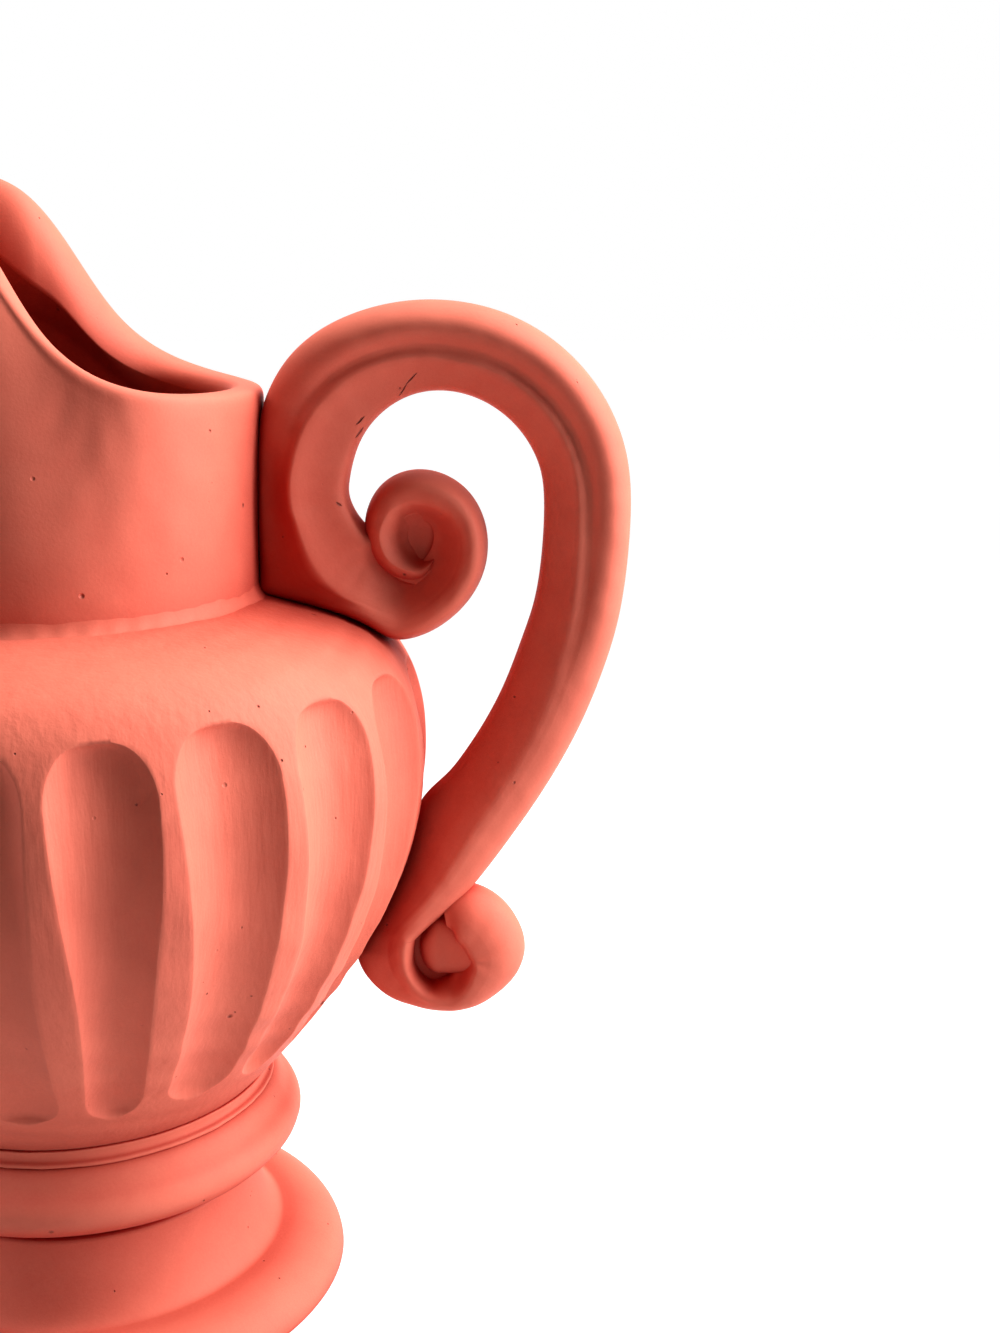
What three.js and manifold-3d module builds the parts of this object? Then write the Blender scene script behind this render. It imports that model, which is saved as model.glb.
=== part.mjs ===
import * as THREE from "three";
import Module from "manifold-3d";

// Driving sizes in millimetres. Heights stack upwards from the face the ewer stands on.
const gap = 0.3; // left between pieces that touch
const footHeight = 30;
const footRadius = 63.4;
const footEdgeHeight = 10; // of the foot's rounded edge
const footEdgeWidth = 15;
const footRimWidth = 9; // of the flat rim that it stands on
const footWall = 7;
const stemRadius = 42; // waist between foot and knop
const knopHeight = 20.7;
const knopRadius = 53.3;
const knopRoundHeight = 15; // of the knop's rounded side
const knopRoundWidth = 11.5;
const knopBore = 29.5;
const seatRadius = 42; // where the bowl stands on the knop
const bowlHeight = 122;
const bowlRadius = 86.7;
const bowlWall = 9;
const shoulderFall = 9.4; // plain slope of the shoulder, apart from its round
const fluteCount = 20;
const fluteDepth = 5;
const fluteTurn = 1.3; // degrees that the flutes are turned from the handle
const fluteCrown = 12; // height of a flute's rounded top
const fluteHeel = 4; // height of its rounded foot
const neckRadius = 48.4;
const neckWall = 8.7;
const neckFlare = 1.2; // outward lean of the neck on the handle side
const pinch = 11.3; // how far the sides of the rim are drawn in
const lowRimHeight = 46.6; // rim above the neck's foot on the handle side
const spoutHeight = 95.9; // rim above the neck's foot at the tip of the spout
const spoutReach = 57; // from the pot's axis to the middle of the spout's lip
const lipLedge = 4.5; // how far the lip stands inwards of the wall at the sides
const lipDrop = 21.5; // from the rim down to the edge of that ledge
const beadRadius = 1.05; // slip squeezed out under the bowl
const slipReach = 3.2; // slip drawn out round the foot of the neck
const slipHeight = 2.6;
const strapWidth = 20;
const strapDepth = 19; // the handle from front to back
const voluteReach = 52.9; // from the neck to the far side of the upper scroll
const archRadius = 32.5; // to the middle of the strap
const archLean = 1; // how much the arch leans towards the pot
const archHeight = 23.9; // middle of the arch above the bowl
const curlRadius = 18.2;
const curlDrop = 50.6; // middle of the lower curl below the bowl's widest part

// Heights of the seams
const knopBase = footHeight + gap;
const knopTop = knopBase + knopHeight;
const bowlBase = knopTop + gap;
const widestHeight = bowlBase + 0.687 * bowlHeight;
const bowlTop = bowlBase + bowlHeight;
const neckBase = bowlTop + gap;

const wasm = await Module();
wasm.setup();
const { Manifold, Mesh } = wasm;
const { degToRad, clamp, lerp } = THREE.MathUtils;

const count = (n, make) => Array.from({ length: n }, (_, i) => make(i));

// A smooth function through [x, y] points that never overshoots them
function curveThrough(points) {
  const slopes = points.slice(1).map(([x, y], i) => (y - points[i][1]) / (x - points[i][0]));
  const tangents = points.map((_, i) => {
    const before = slopes[i - 1];
    const after = slopes[i];
    if (before === undefined) return after;
    if (after === undefined) return before;
    return before * after <= 0 ? 0 : (2 * before * after) / (before + after);
  });
  return (x) => {
    const next = points.findIndex((p) => p[0] > x);
    const i = next < 0 ? points.length - 2 : Math.max(0, next - 1);
    const [x0, y0] = points[i];
    const [x1, y1] = points[i + 1];
    const span = x1 - x0;
    const t = clamp((x - x0) / span, 0, 1);
    const bend = tangents[i] * span * t * (1 - t) * (1 - t);
    const bendEnd = tangents[i + 1] * span * t * t * (t - 1);
    return y0 + (y1 - y0) * t * t * (3 - 2 * t) + bend + bendEnd;
  };
}

// An S-shaped step from 0 to 1 over 0 to 180 degrees, steepest at the middle
function stepAt(middle, spread) {
  const raw = (degrees) => 1 / (1 + Math.exp((middle - degrees) / spread));
  return (degrees) => (raw(degrees) - raw(0)) / (raw(180) - raw(0));
}

// Joins rings of points into a closed surface: capped at both ends, or with the last ring joined to the first
function loft(rings, joined = false) {
  const around = rings[0].length;
  const position = rings.flat().flatMap((p) => [p.x, p.y, p.z]);
  const index = [];
  const last = joined ? rings.length : rings.length - 1;
  for (let i = 0; i < last; i++) {
    const next = (i + 1) % rings.length;
    for (let j = 0; j < around; j++) {
      const k = (j + 1) % around;
      const corners = [i * around + j, i * around + k, next * around + k, next * around + j];
      index.push(corners[0], corners[1], corners[2]);
      index.push(corners[0], corners[2], corners[3]);
    }
  }
  const ends = joined ? [] : [0, rings.length - 1];
  for (const end of ends) {
    const middle = rings[end].reduce((sum, p) => sum.add(p), new THREE.Vector3());
    middle.divideScalar(around);
    position.push(middle.x, middle.y, middle.z);
    const centre = position.length / 3 - 1;
    for (let j = 0; j < around; j++) {
      const side = [end * around + j, end * around + ((j + 1) % around)];
      if (end === 0) side.reverse();
      index.push(centre, ...side);
    }
  }
  const geometry = new THREE.BufferGeometry();
  geometry.setAttribute("position", new THREE.Float32BufferAttribute(position, 3));
  return geometry.setIndex(index);
}

// A solid for joining and cutting, turned the right way round if its rings ran the other way
function solid(geometry) {
  const triVerts = Uint32Array.from(geometry.index.array);
  const vertProperties = Float32Array.from(geometry.getAttribute("position").array);
  const made = new Manifold(new Mesh({ numProp: 3, vertProperties, triVerts }));
  if (made.volume() > 0) return made;
  for (let i = 0; i < triVerts.length; i += 3) {
    [triVerts[i], triVerts[i + 1]] = [triVerts[i + 1], triVerts[i]];
  }
  return new Manifold(new Mesh({ numProp: 3, vertProperties, triVerts }));
}

function shape(made) {
  const { vertProperties, triVerts } = made.getMesh();
  const geometry = new THREE.BufferGeometry();
  geometry.setAttribute("position", new THREE.BufferAttribute(vertProperties, 3));
  return geometry.setIndex(new THREE.BufferAttribute(triVerts, 1));
}

// A point at a radius, a turn in radians from the handle side and a height
function polar(radius, angle, height) {
  return new THREE.Vector3(radius * Math.cos(angle), radius * Math.sin(angle), height);
}

// A body turned about the pot's axis from a closed outline of [radius, height] points
function turned(outline, steps) {
  const rings = count(steps, (i) => {
    const angle = (i / steps) * 2 * Math.PI;
    return outline.map(([r, z]) => polar(r, angle, z));
  });
  return loft(rings, true);
}

// [radius, height] points along part of an ellipse, its angles in degrees from straight outwards
function ellipseArc([r, z], [width, height], from, to, steps) {
  return count(steps + 1, (i) => {
    const angle = degToRad(lerp(from, to, i / steps));
    return [r + width * Math.cos(angle), z + height * Math.sin(angle)];
  });
}

// Welds a lathe's seam and poles so that it is one closed surface
function welded(lathe) {
  const source = lathe.getAttribute("position");
  const found = new Map();
  const position = [];
  const place = count(source.count, (i) => {
    const point = [source.getX(i), source.getY(i), source.getZ(i)];
    const key = point.map((value) => Math.round(value * 1000)).join(" ");
    if (!found.has(key)) {
      found.set(key, found.size);
      position.push(...point);
    }
    return found.get(key);
  });
  const index = [];
  for (let i = 0; i < lathe.index.count; i += 3) {
    const [a, b, c] = [0, 1, 2].map((j) => place[lathe.index.getX(i + j)]);
    if (a !== b && b !== c && a !== c) index.push(a, b, c);
  }
  const geometry = new THREE.BufferGeometry();
  geometry.setAttribute("position", new THREE.Float32BufferAttribute(position, 3));
  return geometry.setIndex(index);
}

// Bowl: a parabola-like side up to the widest part, then a shoulder that is a superellipse on a slope
function sideRadiusAt(z) {
  const down = clamp((widestHeight - z) / (widestHeight - bowlBase), 0, 1);
  return seatRadius + (bowlRadius - seatRadius) * (1 - down ** 1.93);
}

function shoulderHeightAt(r) {
  const out = clamp((r - neckRadius) / (bowlRadius - neckRadius), 0, 1);
  const round = bowlTop - widestHeight - shoulderFall;
  return bowlTop - shoulderFall * out - round * (1 - Math.sqrt(1 - out ** 5));
}

const shoulderCurve = count(25, (i) => {
  const r = lerp(bowlRadius, neckRadius, (i / 24) ** 2);
  return [shoulderHeightAt(r), r];
});
const shoulderRadiusAt = curveThrough(shoulderCurve);
const bowlRadiusAt = (z) => (z < widestHeight ? sideRadiusAt(z) : shoulderRadiusAt(z));

// Flutes: hollows with a round top and a squarer foot, a little narrower half way down
const fluteTop = bowlBase + 0.876 * bowlHeight;
const fluteFoot = bowlBase + 0.131 * bowlHeight;
const halfWidthAt = curveThrough(
  [
    [0, 0.4],
    [0.17, 0.365],
    [0.4, 0.35],
    [0.65, 0.385],
    [0.9, 0.42],
    [1, 0.43],
  ].map(([up, half]) => [lerp(fluteFoot, fluteTop, up), half]),
);

function fluteEnds(z) {
  const crown = Math.max(0, (z - fluteTop + fluteCrown) / fluteCrown);
  const heel = Math.max(0, (fluteFoot + fluteHeel - z) / fluteHeel);
  return Math.sqrt(Math.max(0, 1 - crown ** 2) * Math.max(0, 1 - heel ** 2));
}

const acrossFlute = [-1, -0.58, 0, 0.58, 1];
const crownLevels = [0.1, 0.4, 0.7, 0.93, 1].map((up) => fluteTop + (up - 1) * fluteCrown);
const heelLevels = [0, 0.15, 0.5, 1].map((up) => fluteFoot + up * fluteHeel);
const sideLevels = [0.27, 0.41, 0.55, 0.687].map((up) => bowlBase + up * bowlHeight);
const shoulderLevels = [0.9, 0.925, 0.95, 0.975, 1].map((up) => bowlBase + up * bowlHeight);
const bowlLevels = [
  bowlBase,
  bowlBase + 0.065 * bowlHeight,
  ...heelLevels,
  ...sideLevels,
  ...crownLevels,
  ...shoulderLevels,
];

const bowlRings = bowlLevels.map((z) => {
  const ends = z > fluteFoot && z < fluteTop ? fluteEnds(z) : 0;
  const half = halfWidthAt(z) * (0.2 + 0.8 * ends);
  const ring = [];
  for (let i = 0; i < fluteCount; i++) {
    for (const part of [...acrossFlute, 0.5 / half]) {
      const hollow = Math.abs(part) < 1 ? (1 - part * part) ** 0.8 : 0;
      const turn = (i + part * half) / fluteCount;
      const r = bowlRadiusAt(z) - fluteDepth * ends ** 0.8 * hollow;
      ring.push(polar(r, turn * 2 * Math.PI + degToRad(fluteTurn), z));
    }
  }
  return ring;
});

const mouthRadius = neckRadius - neckWall;
const cavityFloor = bowlBase + bowlWall;
const cavityOutline = [
  [0, cavityFloor],
  [seatRadius - bowlWall, cavityFloor + 0.1 * bowlWall],
  ...[0.16, 0.25, 0.36, 0.48, 0.6, 0.7, 0.79, 0.85].map((part) => {
    const z = bowlBase + part * bowlHeight;
    return [bowlRadiusAt(z) - bowlWall, z];
  }),
  [lerp(mouthRadius, bowlRadius, 0.6), bowlTop - 1.35 * bowlWall],
  [mouthRadius + 0.5 * bowlWall, bowlTop - bowlWall],
  [mouthRadius, bowlTop - 0.4 * bowlWall],
  [mouthRadius, bowlTop + gap],
  [0, bowlTop + gap],
];
const cavityPoints = cavityOutline.map(([r, z]) => new THREE.Vector2(r, z));
const cavity = new THREE.LatheGeometry(cavityPoints, 40).rotateX(Math.PI / 2);
const bowl = shape(solid(loft(bowlRings)).subtract(solid(welded(cavity))));

// Neck: a collar whose rim runs low at the handle, is pinched at the sides and rises to the spout.
// Its shape goes by the degrees round from the handle, the same to both sides.
const pinchStep = stepAt(68, 7.2);
const rimStep = stepAt(85, 11.2);
const wallFoot = neckRadius - neckWall / 2;
const spoutStart = 103.6; // degrees

// A bell shape by the degrees: 1 in the middle, 0.37 at the spread
const bellAt = (middle, spread) => (degrees) => Math.exp(-(((degrees - middle) / spread) ** 2));
const ledgeShare = bellAt(98, 40);
const dropShare = bellAt(110, 28);

function rimRadiusAt(degrees) {
  const sides = wallFoot + neckFlare - pinch * pinchStep(degrees);
  const turn = clamp((degrees - spoutStart) / (180 - spoutStart), 0, 1);
  const spout = spoutReach - (wallFoot + neckFlare - pinch);
  return sides + (spout * (1 - Math.cos(turn * Math.PI))) / 2;
}

// Middle of the neck's wall on the handle side or any other, by the share of the height to the lip
function wallRadiusAt(degrees, share) {
  return lerp(wallFoot, rimRadiusAt(degrees), share ** 2);
}

const neckSteps = 60;
const neckRings = count(neckSteps, (i) => {
  const degrees = (i / neckSteps) * 360;
  const side = Math.min(degrees, 360 - degrees);
  const rim = neckBase + lerp(lowRimHeight, spoutHeight, rimStep(side));
  const half = neckWall / 2;
  const wallTop = rim - half;
  const middle = rimRadiusAt(side);
  const ledge = half + lipLedge * ledgeShare(side);
  const drop = half + (lipDrop - half) * dropShare(side);
  const wall = (share, out) => [wallRadiusAt(side, share) + out, lerp(neckBase, wallTop, share)];
  const outer = [0, 0.2, 0.4, 0.58, 0.75, 0.9].map((share) => wall(share, half));
  const lip = ellipseArc([middle, wallTop], [half, half], 0, 90, 4);
  const fall = ellipseArc([middle, rim - drop], [ledge, drop], 112.5, 180, 3);
  const undercutShare = (rim - drop - 0.8 * ledge - neckBase) / (wallTop - neckBase);
  const inner = [1, 0.8, 0.55, 0.3, 0].map((part) => wall(part * undercutShare, -half));
  const angle = degToRad(degrees);
  return [...outer, ...lip, ...fall, ...inner].map(([r, z]) => polar(r, angle, z));
});
const neck = loft(neckRings, true);

// Slip squeezed out of a seam: a thin uneven ring round an outline of [radius, height] points
function slipRing(outline, unevenness, steps) {
  const middle = [0, 1].map((axis) => outline.reduce((sum, p) => sum + p[axis], 0) / outline.length);
  const rings = count(steps, (i) => {
    const angle = (i / steps) * 2 * Math.PI;
    const wave = Math.sin(7 * angle) + Math.sin(19 * angle + 1) + Math.sin(31 * angle + 2);
    const scale = 1 - unevenness * (1 + wave / 3);
    return outline.map(([r, z]) =>
      polar(lerp(middle[0], r, scale), angle, lerp(middle[1], z, scale)),
    );
  });
  return loft(rings, true);
}

const neckSlip = slipRing(
  [
    [neckRadius + 1.5 * gap, neckBase + 0.1 * slipHeight],
    [neckRadius + slipReach, neckBase - 0.06 * slipHeight],
    [neckRadius + 0.6 * slipReach, neckBase + 0.21 * slipHeight],
    [neckRadius + 0.31 * slipReach, neckBase + 0.54 * slipHeight],
    [neckRadius + 2 * gap, neckBase + slipHeight],
  ],
  0.08,
  40,
);
const beadPlace = [seatRadius + 3.6 * beadRadius, knopTop + gap + beadRadius];
const footSlip = slipRing(
  ellipseArc(beadPlace, [beadRadius, beadRadius], 0, 300, 5),
  0.1,
  40,
);

// Knop: the round ring between bowl and foot, open through the middle
const knopMiddle = knopBase + 0.515 * knopHeight;
const knopOutline = [
  [knopBore, knopBase],
  [stemRadius, knopBase],
  ...ellipseArc(
    [knopRadius - knopRoundWidth, knopMiddle],
    [knopRoundWidth, knopRoundHeight / 2],
    -90,
    45,
    7,
  ),
  [seatRadius + 5.4 * beadRadius, knopTop - beadRadius],
  [seatRadius + 4.4 * beadRadius, knopTop],
  [knopBore, knopTop],
];
const knop = turned(knopOutline, 48);

// Foot: a hollow stem that sweeps out to a rounded edge and stands on a flat rim
const edgeTop = footRadius - footEdgeWidth;
const recessRadius = footRadius - footRimWidth;
const sweep = [edgeTop - stemRadius, footHeight - footEdgeHeight];
const footOutline = [
  [stemRadius - footWall, footHeight],
  ...ellipseArc([edgeTop, footHeight], sweep, 180, 270, 4),
  ...ellipseArc([edgeTop, 0], [footEdgeWidth, footEdgeHeight], 72, 9, 4),
  [footRadius - 0.4, 0],
  [recessRadius, 0],
  [recessRadius - 0.25 * footWall, 0.3 * footWall],
  [stemRadius, footEdgeHeight - 0.6 * footWall],
  [stemRadius - footWall, footEdgeHeight + 0.3 * footWall],
];
const foot = turned(footOutline, 48);

// Handle: a strap rolled up in a scroll against the neck, led up beside it, arched over to the outside,
// brought down to the bowl and curled outwards. Each station is the middle of the strap and its width.
const stations = [];
const addStation = (x, z, width) => stations.push([new THREE.Vector3(x, 0, z), width]);

// The scroll from its tip outwards, as shares of its reach: out from the neck, up from the shoulder, width
const scroll = [
  [0.756, 0.146, 0.087],
  [0.69, 0.096, 0.13],
  [0.575, 0.146, 0.149],
  [0.526, 0.268, 0.161],
  [0.582, 0.405, 0.183],
  [0.709, 0.448, 0.187],
  [0.849, 0.378, 0.187],
  [0.9, 0.214, 0.2],
  [0.836, 0.03, 0.227],
  [0.643, -0.113, 0.225],
  [0.478, -0.072, 0.257],
  [0.34, 0.009, 0.333],
  [0.248, 0.14, 0.384],
  [0.204, 0.378, 0.38],
];
for (const [out, up, width] of scroll) {
  addStation(neckRadius + out * voluteReach, bowlTop + up * voluteReach, width * voluteReach);
}
const scrollEnd = 7; // the station where the scroll starts to pass outside its own first turn

const archX = neckRadius + 2 * gap + strapWidth / 2 + archRadius;
const archZ = bowlTop + archHeight;
const archSwell = bellAt(140, 25);
for (let degrees = 176; degrees >= -8; degrees -= 23) {
  const angle = degToRad(degrees);
  const radius = archRadius - archLean * Math.sin(2 * angle);
  const swell = 1 + 0.06 * archSwell(degrees);
  const [x, z] = [archX + radius * Math.cos(angle), archZ + radius * Math.sin(angle)];
  addStation(x, z, swell * strapWidth);
}
const archEnd = stations[stations.length - 1][0];

// The lower curl: degrees round its middle, inner edge and outer edge as shares of its radius
const curl = [
  [150, 0.47, 1.29],
  [180, 0.445, 1.25],
  [210, 0.467, 1.115],
  [240, 0.478, 0.967],
  [270, 0.456, 0.874],
  [315, 0.44, 0.912],
  [360, 0.44, 1],
  [390, 0.4, 0.995],
  [420, 0.41, 0.95],
];
const curlZ = widestHeight - curlDrop;
const curlX = bowlRadiusAt(curlZ) + 1.18 * curlRadius;
const curlStations = curl.map(([degrees, inner, outer]) => {
  const angle = degToRad(degrees);
  const radius = (curlRadius * (inner + outer)) / 2;
  const place = new THREE.Vector3(curlX + radius * Math.cos(angle), 0, curlZ + radius * Math.sin(angle));
  return [place, curlRadius * (outer - inner)];
});

// The arm between them: share of the way, outward bow as a share of the length, width of the full strap
const armLine = new THREE.Vector3().subVectors(curlStations[0][0], archEnd);
const outward = new THREE.Vector3(-armLine.z, 0, armLine.x);
const arm = [
  [0.18, 0.067, 1],
  [0.3, 0.084, 1.03],
  [0.43, 0.095, 1.02],
  [0.58, 0.085, 1.03],
  [0.72, 0.0605, 1.06],
  [0.85, 0.05, 0.9],
  [0.94, 0.0226, 0.775],
];
for (const [part, bow, width] of arm) {
  const place = archEnd.clone().addScaledVector(armLine, part).addScaledVector(outward, bow);
  addStation(place.x, place.z, width * strapWidth);
}
stations.push(...curlStations);

// Keeps an edge of the strap off the neck, the shoulder and the side of the bowl
function clearOfPot(point) {
  const { x, z } = point;
  if (z < widestHeight) return point.setX(Math.max(x, bowlRadiusAt(z) - 0.3 * fluteDepth));
  if (z < bowlTop && x < bowlRadius) {
    return point.setZ(Math.max(z, shoulderHeightAt(x) + 1.3 * gap));
  }
  if (z > neckBase + lowRimHeight) return point;
  const share = Math.max(0, (z - neckBase) / lowRimHeight);
  return point.setX(Math.max(x, wallRadiusAt(0, share) + neckWall / 2 + 1.3 * gap));
}

const spans = stations.length - 1;
const strapMiddle = new THREE.CatmullRomCurve3(stations.map(([place]) => place));
const widthAt = curveThrough(stations.map(([, width], i) => [i / spans, width]));
// The share of the strap's full depth and how plainly its face is rounded, by station
const depthShareAt = curveThrough(
  [
    [0, 0.35],
    [2, 0.6],
    [5, 0.78],
    [8, 0.9],
    [12, 1],
    [spans - 4, 1],
    [spans - 1, 0.9],
    [spans, 0.55],
  ].map(([i, share]) => [i / spans, share]),
);
const roundnessAt = curveThrough(
  [
    [0, 1],
    [5, 0],
    [spans - 12, 0],
    [spans - 5, 1],
    [spans, 1],
  ].map(([i, share]) => [i / spans, share]),
);

// The strap's face from the rounded edge to the thin one: [part of the width, share of the depth
// with lobe, groove and ridge, share of the depth where the face is plainly rounded]
const face = [
  [0.03, 0.42, 0.42],
  [0.13, 0.82, 0.76],
  [0.28, 1, 0.94],
  [0.43, 0.88, 1],
  [0.52, 0.7, 1],
  [0.58, 0.73, 0.98],
  [0.86, 0.4, 0.68],
];

function strap(from, to) {
  const rings = [];
  for (let i = 2 * from; i <= 2 * to; i++) {
    const t = i / (2 * spans);
    const middle = strapMiddle.getPoint(t);
    const along = strapMiddle.getTangent(t);
    const across = new THREE.Vector3(-along.z, 0, along.x).multiplyScalar(widthAt(t) / 2);
    const a = clearOfPot(middle.clone().add(across));
    const b = clearOfPot(middle.clone().sub(across));
    const half = (depthShareAt(t) * strapDepth) / 2;
    const front = face.map(([part, lobed, round]) => {
      const share = lerp(lobed, round, roundnessAt(t));
      return new THREE.Vector3().lerpVectors(a, b, part).setY(-half * share);
    });
    const back = front.map((p) => p.clone().setY(-p.y)).reverse();
    rings.push([a, ...front, b, ...back]);
  }
  return solid(loft(rings));
}

// A thin round plate on the middle plane that closes the inside of a curl or a narrow corner
function web(x, z, radius) {
  const plate = new THREE.CylinderGeometry(radius, radius, 0.4 * strapDepth, 18);
  return solid(welded(plate.translate(x, 0, z)));
}

const scrollWebs = [
  [0.7, 0.236, 0.227], // inside the scroll
  [0.5, 0.14, 0.14], // between its outer turn and the strap
  [0.165, 0.13, 0.14], // between the strap, the neck and the shoulder
];

const curlBoss = new THREE.SphereGeometry(curlRadius, 14, 8).scale(0.28, 0.4, 0.45).rotateY(0.25);
const handle = shape(
  Manifold.union([
    strap(0, scrollEnd),
    strap(scrollEnd, spans),
    ...scrollWebs.map(([out, up, radius]) =>
      web(neckRadius + out * voluteReach, bowlTop + up * voluteReach, radius * voluteReach),
    ),
    web(curlX, curlZ, 0.49 * curlRadius),
    solid(welded(curlBoss.translate(curlX + 0.05 * curlRadius, 0, curlZ + 0.09 * curlRadius))),
  ]),
);

const ewer = new THREE.Group();
const pieces = {
  foot,
  knop,
  foot_slip: footSlip,
  bowl,
  neck_slip: neckSlip,
  neck,
  handle,
};
for (const [name, geometry] of Object.entries(pieces)) {
  const clay = new THREE.MeshStandardMaterial({ color: 0xdd755d, roughness: 0.8 });
  const mesh = new THREE.Mesh(shape(solid(geometry)), clay);
  mesh.name = name;
  ewer.add(mesh);
}

// The part's origin is the middle of its box in plan, on the face it stands on
const box = new THREE.Box3().setFromObject(ewer);
const centre = box.getCenter(new THREE.Vector3());
for (const mesh of ewer.children) mesh.position.set(-centre.x, -centre.y, -box.min.z);

export default ewer;
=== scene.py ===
import math

import bmesh
import bpy
import numpy as np
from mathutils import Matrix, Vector


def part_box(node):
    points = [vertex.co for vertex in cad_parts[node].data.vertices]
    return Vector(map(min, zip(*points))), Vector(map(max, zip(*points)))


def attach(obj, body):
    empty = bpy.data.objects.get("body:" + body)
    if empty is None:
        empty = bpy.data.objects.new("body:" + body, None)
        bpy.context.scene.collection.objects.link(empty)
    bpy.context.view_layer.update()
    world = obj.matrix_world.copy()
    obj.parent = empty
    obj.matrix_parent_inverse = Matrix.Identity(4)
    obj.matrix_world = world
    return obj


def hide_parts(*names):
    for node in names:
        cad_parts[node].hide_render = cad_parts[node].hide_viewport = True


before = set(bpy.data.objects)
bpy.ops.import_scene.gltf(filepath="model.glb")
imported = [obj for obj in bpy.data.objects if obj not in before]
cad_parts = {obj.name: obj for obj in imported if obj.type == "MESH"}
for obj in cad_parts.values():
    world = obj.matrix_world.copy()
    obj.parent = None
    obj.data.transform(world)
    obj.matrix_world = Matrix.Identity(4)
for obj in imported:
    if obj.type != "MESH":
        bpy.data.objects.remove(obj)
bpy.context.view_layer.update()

# Sizes are in millimetres, measured from the pot's axis and from the floor. Those that a node's box gives are
# read from model.glb, and the others are the construction's own.
MM = 0.001


def span(node):
    """Lowest and highest corner of a node in millimetres."""
    low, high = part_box(node)
    return np.array(low) / MM, np.array(high) / MM


knop_low, knop_high = span("knop")
bowl_low, bowl_high = span("bowl")
neck_low, neck_high = span("neck")
handle_low, handle_high = span("handle")

axis_x = (knop_low[0] + knop_high[0]) / 2
seat_gap = neck_low[2] - bowl_high[2]
foot_height = span("foot")[1][2]
foot_radius = 63.4
foot_edge_height = 10.0
foot_edge_width = 15.0
foot_rim_width = 9.0
foot_wall = 7.0
stem_radius = 42.0
knop_base, knop_top = knop_low[2], knop_high[2]
knop_radius = 53.3
knop_round_height = 15.0
knop_round_width = 11.5
knop_bore = 29.5
seat_radius = 42.0
bowl_base, bowl_top = bowl_low[2], bowl_high[2]
bowl_height = bowl_top - bowl_base
bowl_radius = 86.7
bowl_wall = 9.0
widest = bowl_base + 0.687 * bowl_height
shoulder_fall = 9.4
flute_count = 20
flute_depth = 5.0
flute_turn = math.radians(1.3)
flute_crown = 12.0
flute_heel = 6.5
flute_top = bowl_base + 0.876 * bowl_height
flute_foot = bowl_base + 0.131 * bowl_height
neck_base = neck_low[2]
neck_radius = 48.4
neck_wall = 8.7
neck_flare = 1.2
neck_pinch = 11.3
low_rim = 46.6
spout_height = neck_high[2] - neck_base
spout_reach = 57.0
lip_ledge = 4.5
lip_drop = 21.5
bead_radius = 1.05
slip_reach = 3.2
slip_height = 2.6
strap_width = 20.0
strap_depth = handle_high[1] - handle_low[1]
volute_reach = 52.9
arch_radius = 32.5
arch_lean = 1.0
arch_height = 23.9
curl_radius = 18.2
curl_drop = 50.6


def curve_through(points):
    """A smooth function through (x, y) points: a cubic between neighbours, whose slope at each point is
    the harmonic mean of the slopes on both sides, so that it never overshoots them."""
    x, y = np.array(points, float).T
    slope = np.diff(y) / np.diff(x)
    product = slope[:-1] * slope[1:]
    total = np.where(product > 0, slope[:-1] + slope[1:], 1)
    tangent = np.concatenate([slope[:1], np.where(product > 0, 2 * product / total, 0), slope[-1:]])

    def at(value):
        """Its value at any x, held at the ends' beyond the points."""
        value = np.asarray(value, float)
        i = np.clip(np.searchsorted(x, value, side="right") - 1, 0, len(x) - 2)
        width = x[i + 1] - x[i]
        t = np.clip((value - x[i]) / width, 0, 1)
        bend = tangent[i] * width * t * (1 - t) ** 2 - tangent[i + 1] * width * t * t * (1 - t)
        return y[i] + (y[i + 1] - y[i]) * t * t * (3 - 2 * t) + bend

    return at


def lerp(a, b, t):
    """The value at the share t of the way from a to b."""
    return a + (b - a) * t


def smooth_step(value, start, end):
    """0 before start, 1 after end and 3t^2 - 2t^3 between them, t being the share of the way."""
    t = np.clip((value - start) / (end - start), 0, 1)
    return t * t * (3 - 2 * t)


def ripple(a, b, wavelength, seed):
    """Slow unevenness of hand-worked clay, about -1 to 1: six plane waves over two lengths a and b in
    millimetres, of about the given wavelength, whose directions and phases come from the seed. Their
    sum is divided by 3.5."""
    random = np.random.default_rng(seed)
    total = 0.0
    for _ in range(6):
        turn, phase = random.uniform(0, 2 * math.pi, 2)
        pace = 2 * math.pi / (wavelength * random.uniform(0.7, 1.6))
        total = total + np.sin(pace * (a * math.cos(turn) + b * math.sin(turn)) + phase)
    return total / 3.5


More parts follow.
